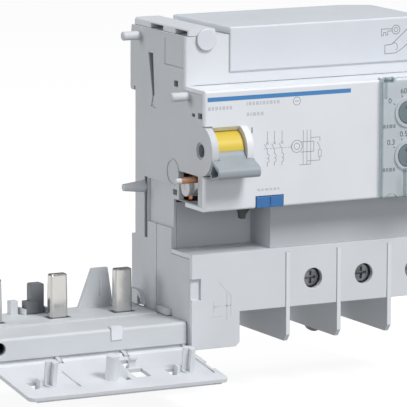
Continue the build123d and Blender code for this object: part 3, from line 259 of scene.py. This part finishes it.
BODY = moulded("housing_grey", srgb(212, 215, 220), rough=0.46)
CAP = moulded("cap_grey", srgb(208, 212, 219), rough=0.42)
TRAY = moulded("tray_grey", srgb(200, 204, 208), rough=0.46)
FACE = moulded("front_grey", srgb(222, 225, 230), rough=0.40)
# the left side plate is the housing's plastic painted darker: painted shade on the side turned from the
# light
SIDE_SHADED = moulded("side_grey_painted_shade", srgb(196, 199, 203), rough=0.50)
# the band under the window is painted darker: painted shade under the window's overhang
BAND_SHADED = moulded("band_grey_painted_shade", srgb(182, 186, 191), rough=0.50)
# the barriers are painted paler than the housing: painted light standing in for the bounce light between
# them
FIN_GREY_LIT = moulded("barrier_grey_painted_light", srgb(222, 225, 229), rough=0.48)
HANDLE = moulded("handle_grey", srgb(148, 156, 163), rough=0.40)
HUB_GREY = moulded("hub_grey", srgb(176, 179, 184), rough=0.45)
YELLOW = moulded("drum_yellow", srgb(214, 188, 70), rough=0.38, wear_and_highlight=1.05)
BLUE = moulded("button_blue", srgb(50, 108, 168), rough=0.34, wear_and_highlight=1.25)
DIAL = moulded("dial_grey", srgb(122, 134, 141), rough=0.36)
DIAL_SLOT_SHADE = moulded("dial_slot_painted_shade", srgb(52, 62, 70), rough=0.45)
BLACK = moulded("black_plastic", srgb(30, 30, 32), rough=0.42, wear_and_highlight=1.8)
CLIP_GREY = moulded("clip_grey", srgb(110, 113, 118), rough=0.45, wear_and_highlight=1.2)
RAIL_CLIP = moulded("rail_clip_grey", srgb(120, 124, 130), rough=0.45, wear_and_highlight=1.2)
LEVER = moulded("lever_grey", srgb(206, 208, 210), rough=0.40)
CLEAR = clear_plastic("clear_cover")
PIN_COPPER = metal("pin_copper", srgb(176, 132, 104), rough=0.45, tarnish_and_shade=srgb(122, 86, 66))
COPPER = metal("copper", srgb(200, 130, 92), rough=0.28, tarnish_and_shade=srgb(120, 70, 48))
# the tinned prongs' edges are painted dark: a painted reflection on their bevelled edges
TINNED = metal("tinned", srgb(204, 203, 200), rough=0.14, brushed=(1, 1, 0.3), amount=0.12, edge=0.16,
               edge_width=0.0009, scratched=0.06)
ZINC = metal("zinc_steel", srgb(196, 198, 200), rough=0.28)
# the terminal screws are painted darker, with deep near-black patches: painted shade of the deep holes they
# sit in
SCREW_STEEL_SHADED = metal("screw_steel_painted_shade", srgb(128, 130, 134), rough=0.34, tarnish_and_shade=srgb(50, 52, 56), amount=0.7)
SPRING = metal("spring_steel", srgb(186, 188, 192), rough=0.22)
CORE = metal("core_strip", srgb(96, 98, 104), rough=0.35, brushed=(0.05, 1, 1))
WINDING = wound_wire("enamelled_winding", srgb(120, 64, 38), "X")
TRANSFORMER = wound_wire("transformer_winding", srgb(196, 120, 60), "Z")
BOARD = circuit_laminate("circuit_laminate")
INK_BLUE = printed("ink_blue", srgb(66, 128, 184))
INK_GREY = printed("ink_grey", srgb(150, 154, 160))
INK_PALE = printed("ink_pale", srgb(192, 196, 202))
INK_SIGN = printed("ink_sign", srgb(112, 117, 124))
INK_DARK = printed("ink_dark", srgb(58, 62, 68))

NODE_MATERIAL = {
    "rear_housing": BODY, "front_cover": FACE, "left_side_plate": SIDE_SHADED, "terminal_housing": BODY,
    "lower_band": BAND_SHADED, "terminal_barrier_1": FIN_GREY_LIT, "terminal_barrier_2": FIN_GREY_LIT,
    "terminal_barrier_3": FIN_GREY_LIT, "upper_cap": CAP, "top_bridge": BODY, "round_cap": CAP,
    "tray_base": TRAY, "tray_cover": TRAY, "tray_lock_clip": CLIP_GREY, "terminal_flap": BODY,
    "flap_hinge_pin": ZINC, "prong_1": TINNED, "prong_2": TINNED, "prong_3": TINNED,
    "busbar_1": COPPER, "busbar_2": COPPER, "busbar_3": COPPER, "toroid_core": CORE,
    "toroid_winding": WINDING, "trip_relay": BLACK, "relay_plunger": ZINC, "relay_spring": SPRING,
    "trip_lever": LEVER, "trip_pin": PIN_COPPER, "trip_lever_pivot": LEVER, "toggle_handle": HANDLE,
    "toggle_drum": YELLOW, "toggle_axle": ZINC, "toggle_spring": SPRING, "test_button": BLUE,
    "test_spring": SPRING, "test_contact": COPPER, "interlock_tab": BLACK, "delay_dial": DIAL,
    "sensitivity_dial": DIAL, "adjustment_cover": CLEAR, "cover_hinge_pins": ZINC,
    "circuit_board": BOARD, "potentiometers": BLACK, "filter_capacitor": BLACK,
    "supply_transformer": TRANSFORMER, "terminal_clamp_1": ZINC, "terminal_clamp_2": ZINC,
    "terminal_clamp_3": ZINC, "terminal_screw_1": SCREW_STEEL_SHADED, "terminal_screw_2": SCREW_STEEL_SHADED,
    "terminal_screw_3": SCREW_STEEL_SHADED, "rail_clip_left": RAIL_CLIP, "rail_clip_right": RAIL_CLIP,
    "housing_screws": ZINC,
}
for name, material in NODE_MATERIAL.items():
    slots = NODES[name].data.materials
    slots.clear()
    slots.append(material)


def repaint(node, material, chosen):
    """Gives a second material to the faces of a node whose centre, in millimetres, is chosen."""
    mesh = NODES[node].data
    mesh.materials.append(material)
    for face in mesh.polygons:
        if chosen(face.center / MM):
            face.material_index = len(mesh.materials) - 1


# places in millimetres
PIVOT_Y = -53.1
DIAL_X = 86.3
DIAL_Z = {"delay": 9.6, "sensitivity": -6.8}


def on_hub(c):
    """The drum's left end and the wall of the socket in it."""
    in_socket = c.x < 6.6 and math.hypot(c.y - PIVOT_Y, c.z) < 2.6
    return c.x < 3.05 or in_socket


def in_pointer(c):
    """The floor and walls of a pointer that is sunk in the face of a dial."""
    off_axis = min(math.hypot(c.x - DIAL_X, c.z - z) for z in DIAL_Z.values())
    return -57.2 < c.y < -56.2 and off_axis < 3.9


# a plain grey hub, a pale end on the trip pin, pointers painted dark as painted shade in their sunk slots,
# and a snap tab painted paler than its cover as a painted highlight
repaint("toggle_drum", HUB_GREY, on_hub)
repaint("trip_pin", LEVER, lambda c: c.x < -5.85)
# the sunk pointers' floor and walls get a dark colour: painted shade in the slots
repaint("delay_dial", DIAL_SLOT_SHADE, in_pointer)
repaint("sensitivity_dial", DIAL_SLOT_SHADE, in_pointer)
# the snap tab gets the paler front grey: a painted highlight on part of the same moulding
repaint("tray_cover", FACE, lambda c: -31.9 < c.x < -27.1 and c.y < -41.3)


# ---- Mesh helpers ---------------------------------------------------------------
INK = 0.03
HAIR = 0.2
THIN = 0.22
LINE = 0.24


def prism(bm, outline, y_front, y_back):
    """Adds a closed prism from (X, Z) points in millimetres to bm, between two depths."""
    front = [bm.verts.new((x * MM, y_front * MM, z * MM)) for x, z in outline]
    back = [bm.verts.new((x * MM, y_back * MM, z * MM)) for x, z in outline]
    bm.faces.new(front)
    bm.faces.new(back[::-1])
    count = len(outline)
    for i in range(count):
        j = (i + 1) % count
        bm.faces.new((front[j], front[i], back[i], back[j]))


def stroke(bm, start, end, width, y):
    """A straight printed line between two (X, Z) points."""
    a, b = Vector(start), Vector(end)
    side = (b - a).normalized().orthogonal() * width / 2
    outline = [tuple(a + side), tuple(a - side), tuple(b - side), tuple(b + side)]
    prism(bm, outline, y, y + INK)


def path(bm, points, width, y):
    """Printed lines from each (X, Z) point to the next."""
    for start, end in zip(points, points[1:]):
        stroke(bm, start, end, width, y)


def ring(bm, centre, radius, width, y, start=0.0, sweep=360.0, steps=28):
    """A printed circle or arc of short strokes."""
    def at(i, r):
        """The point at step i, at a distance r from the centre."""
        angle = math.radians(start + sweep * i / steps)
        return (centre[0] + r * math.cos(angle), centre[1] + r * math.sin(angle))
    for i in range(steps):
        outline = [at(i, radius + width / 2), at(i, radius - width / 2),
                   at(i + 1, radius - width / 2), at(i + 1, radius + width / 2)]
        prism(bm, outline, y, y + INK)


def finish_piece(name, bm, material):
    """Makes a piece of the housing from bm."""
    bmesh.ops.recalc_face_normals(bm, faces=bm.faces)
    mesh = bpy.data.meshes.new(name)
    bm.to_mesh(mesh)
    bm.free()
    obj = bpy.data.objects.new(name, mesh)
    bpy.context.scene.collection.objects.link(obj)
    mesh.materials.append(material)
    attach(obj, ROOT)


# ---- Print on the front -----------------------------------------------------------
FRONT_Y = -56.5
PRINT_Y = FRONT_Y - INK * 0.9

stripe = bmesh.new()
prism(stripe, [(1.1, 18.5), (61.6, 18.5), (61.6, 20.1), (1.1, 20.1)], PRINT_Y, PRINT_Y + INK)
finish_piece("print_stripe", stripe, INK_BLUE)

marks = bmesh.new()
# three poles: a line, an open contact with its cross, and the trip loops below
for x in (26.2, 29.2, 32.4):
    stroke(marks, (x, 6.1), (x, 2.2), THIN, PRINT_Y)
    for side in (-0.5, 0.5):
        stroke(marks, (x + side, 2.1), (x - side, 1.1), HAIR, PRINT_Y)
    path(marks, [(x - 1.2, 1.4), (x, -0.9), (x, -2.4)], THIN, PRINT_Y)
    for z in (-3.2, -4.8):
        ring(marks, (x, z), 0.8, THIN, PRINT_Y, start=-90, sweep=180, steps=8)
    stroke(marks, (x, -5.6), (x, -7.0), THIN, PRINT_Y)
# the dashed link between the poles
for i in range(9):
    stroke(marks, (24.8 + 1.25 * i, -0.4), (25.5 + 1.25 * i, -0.4), HAIR, PRINT_Y)
# the coupling to a ring around the conductors
path(marks, [(36.9, 0.5), (36.0, -0.3), (36.9, -1.1)], THIN, PRINT_Y)
for radius in (1.2, 2.3):
    ring(marks, (38.7, -0.3), radius, LINE, PRINT_Y)
for x in (41.4, 43.0, 44.6):
    stroke(marks, (x, 5.6), (x, -7.4), THIN, PRINT_Y)
path(marks, [(40.3, 1.2), (45.9, 1.2), (45.9, -2.6), (40.3, -2.6)], LINE, PRINT_Y)
# the test branch, with its contact and resistor
path(marks, [(44.6, 2.6), (48.5, 2.6), (48.5, 0.9)], THIN, PRINT_Y)
path(marks, [(47.3, 0.8), (48.5, -0.9), (48.5, -2.2)], THIN, PRINT_Y)
path(marks, [(47.9, -2.2), (49.1, -2.2), (49.1, -4.8), (47.9, -4.8), (47.9, -2.2)], HAIR, PRINT_Y)
path(marks, [(48.5, -4.8), (48.5, -6.1), (43.0, -6.1)], THIN, PRINT_Y)
stroke(marks, (39.8, -7.4), (44.6, -7.4), THIN, PRINT_Y)
# a plain symbol beside the captions
ring(marks, (38.6, 16.7), 1.5, LINE, PRINT_Y)
stroke(marks, (37.8, 16.7), (39.4, 16.7), LINE, PRINT_Y)
finish_piece("print_diagram", marks, INK_GREY)


def dashes(bm, x, z, lengths, height, gap=0.5):
    """A row of short bars on the front that stands for a caption."""
    for length in lengths:
        bar = [(x, z), (x + length, z), (x + length, z + height), (x, z + height)]
        prism(bm, bar, PRINT_Y, PRINT_Y + INK)
        x += length + gap


captions = bmesh.new()
dashes(captions, 1.3, 15.3, (1.1, 0.9, 1.2, 0.8, 1.1, 0.9, 1.0), 1.3)
dashes(captions, 17.3, 16.3, (0.5, 1.1, 0.9, 1.2, 0.6, 1.1, 0.9, 1.2, 0.8, 1.1), 1.3)
dashes(captions, 17.5, 12.3, (1.0, 0.5, 1.3, 1.0, 1.2), 1.3)
dashes(captions, 22.0, -16.0, (1.3, 0.9, 1.6, 1.0, 1.3, 0.8), 0.8)
finish_piece("print_captions", captions, INK_PALE)

on_mark = bmesh.new()
stroke(on_mark, (19.7, 8.0), (19.7, 5.9), 0.4, PRINT_Y)
finish_piece("print_on_mark", on_mark, INK_DARK)

# a plain key and hand on the upper cap: it may be opened with the key only
CAP_PRINT_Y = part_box("upper_cap")[0].y / MM - INK * 0.9
KEY_RING = (89.4, 39.1)
KEY = [(87.7, 39.5), (83.0, 39.6), (83.0, 37.0), (83.9, 37.0), (83.9, 38.2), (85.0, 38.2), (85.0, 37.2),
       (85.8, 37.2), (85.8, 38.7), (87.7, 38.7)]
HAND = [(94.4, 39.2), (87.6, 33.6), (84.6, 33.4), (84.6, 30.1), (89.4, 30.2), (92.2, 31.8), (95.4, 34.2)]
sign = bmesh.new()
ring(sign, KEY_RING, 1.7, LINE, CAP_PRINT_Y)
ring(sign, KEY_RING, 0.8, HAIR, CAP_PRINT_Y)
path(sign, KEY, THIN, CAP_PRINT_Y)
path(sign, HAND, LINE, CAP_PRINT_Y)
ring(sign, (88.6, 32.6), 1.5, HAIR, CAP_PRINT_Y, start=-60, sweep=200, steps=14)
finish_piece("print_key_sign", sign, INK_SIGN)

# a faint raised arrow on the foot of the column
COLUMN_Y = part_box("terminal_housing")[0].y / MM - INK
arrow = bmesh.new()
ARROW = [((11.4, -51.0), (16.5, -56.3)), ((14.8, -55.0), (14.8, -65.7)), ((9.3, -60.2), (16.5, -60.2)),
         ((8.0, -64.0), (12.6, -64.0)), ((9.3, -58.0), (9.3, -62.6)), ((16.5, -56.3), (16.5, -64.0))]
for a, b in ARROW:
    stroke(arrow, a, b, 0.42, COLUMN_Y)
finish_piece("column_emboss", arrow, BODY)


# ---- Dial scales ------------------------------------------------------------------
def number(text, x, z, height):
    """The mesh of a numeral on the front, as a thin solid."""
    curve = bpy.data.curves.new("numeral", "FONT")
    curve.body = text
    curve.size = height * MM
    curve.align_x = "CENTER"
    curve.align_y = "CENTER"
    curve.extrude = INK * MM / 2
    curve.resolution_u = 3
    source = bpy.data.objects.new("numeral_source", curve)
    bpy.context.scene.collection.objects.link(source)
    bpy.context.view_layer.update()
    mesh = bpy.data.meshes.new_from_object(source)
    bpy.data.objects.remove(source)
    place = Vector((x, PRINT_Y + INK / 2, z)) * MM
    mesh.transform(Matrix.Translation(place) @ Matrix.Rotation(math.pi / 2, 4, "X"))
    return mesh


NUMERAL_HEIGHT = 2.9
TICK_RADII = (6.2, 7.0)
TICK_DEGREES = (150, 112, 90, 68, 30)
# each scale's numerals with their places
SCALES = {"delay": (("0", 78.6, 14.2), ("60", 84.5, 17.6), ("150", 91.6, 15.4)),
          "sensitivity": (("0.3", 79.2, -1.6), ("0.5", 84.7, 1.3), ("1", 91.0, -0.6))}
scales = bmesh.new()
units = bmesh.new()
for dial, values in SCALES.items():
    for degrees in TICK_DEGREES:
        angle = math.radians(degrees)
        tick = [(DIAL_X + r * math.cos(angle), DIAL_Z[dial] + r * math.sin(angle)) for r in TICK_RADII]
        path(scales, tick, 0.3, PRINT_Y)
    for text, x, z in values:
        scales.from_mesh(number(text, x, z, NUMERAL_HEIGHT))
for z in (3.9, -12.6):
    dashes(units, 75.6, z, (1.2, 0.8, 1.3, 0.9), 1.4, gap=0.4)
finish_piece("print_scales", scales, INK_DARK)
finish_piece("print_units", units, INK_GREY)


# ---- Lights, floor and camera ------------------------------------------------------
def aim(obj, place, target):
    """Puts a light at a place and turns it to a target."""
    obj.location = place
    obj.rotation_mode = "QUATERNION"
    obj.rotation_quaternion = (Vector(target) - Vector(place)).to_track_quat("-Z", "Y")


# each light's place from the middle of the object, its size and its power
LIGHTS = {"key": ((0.28, -0.90, 1.00), 0.5, 14), "front_fill": ((-0.15, -1.5, 0.25), 0.8, 5),
          "top": ((0.2, 0.1, 1.3), 0.6, 4.2), "back_left": ((-1.25, 0.45, 0.35), 0.7, 7.0)}
centre = (cad_lo + cad_hi) / 2
for name, (offset, size, power) in LIGHTS.items():
    data = bpy.data.lights.new(name, "AREA")
    data.shape = "DISK"
    data.size = size
    data.energy = power
    light = bpy.data.objects.new(name, data)
    bpy.context.scene.collection.objects.link(light)
    aim(light, centre + Vector(offset), centre)

world = bpy.data.worlds.new("studio")
bpy.context.scene.world = world
world.use_nodes = True
backdrop = world.node_tree.nodes["Background"]
backdrop.inputs["Color"].default_value = (0.96, 0.98, 1.0, 1.0)
backdrop.inputs["Strength"].default_value = 0.25

# a wide floor just under the object, which glows near white but lights nothing around it
FLOOR_HALF = 14.0
FLOOR_GAP = 0.012
floor_bm = bmesh.new()
bmesh.ops.create_grid(floor_bm, x_segments=1, y_segments=1, size=FLOOR_HALF)
floor_mesh = bpy.data.meshes.new("floor")
floor_bm.to_mesh(floor_mesh)
floor_bm.free()
floor = bpy.data.objects.new("floor", floor_mesh)
bpy.context.scene.collection.objects.link(floor)
floor.location = (0, 0, cad_lo.z - FLOOR_GAP)
floor.visible_diffuse = False
paper = Graph("pale_floor")
paper.shader.inputs["Base Color"].default_value = (0.16, 0.16, 0.16, 1.0)
paper.shader.inputs["Roughness"].default_value = 0.9
paper.shader.inputs["Emission Color"].default_value = (1, 1, 1, 1)
paper.shader.inputs["Emission Strength"].default_value = 0.88
floor_mesh.materials.append(paper.material)

CAMERA_PLACE = Vector((-705.2, -1397.0, 227.7)) * MM
AZIMUTH = math.radians(-27.733)
ELEVATION = math.radians(9.252)
ROLL = math.radians(0.188)
SENSOR = 36.0
# focal length in picture widths
FOCAL_WIDTHS = 10.2398
back = Vector((math.sin(AZIMUTH) * math.cos(ELEVATION), -math.cos(AZIMUTH) * math.cos(ELEVATION),
               math.sin(ELEVATION)))
level = Vector((math.cos(AZIMUTH), math.sin(AZIMUTH), 0))
upright = back.cross(level)
right = level * math.cos(ROLL) + upright * math.sin(ROLL)
up = back.cross(right)
camera_data = bpy.data.cameras.new("camera")
camera_data.sensor_width = SENSOR
camera_data.lens = FOCAL_WIDTHS * SENSOR
camera_data.clip_start = 0.1
camera_data.clip_end = 50.0
camera = bpy.data.objects.new("camera", camera_data)
bpy.context.scene.collection.objects.link(camera)
pose = Matrix((right, up, back)).transposed().to_4x4()
pose.translation = CAMERA_PLACE
camera.matrix_world = pose
bpy.context.scene.camera = camera
bpy.context.scene.view_settings.view_transform = "Standard"
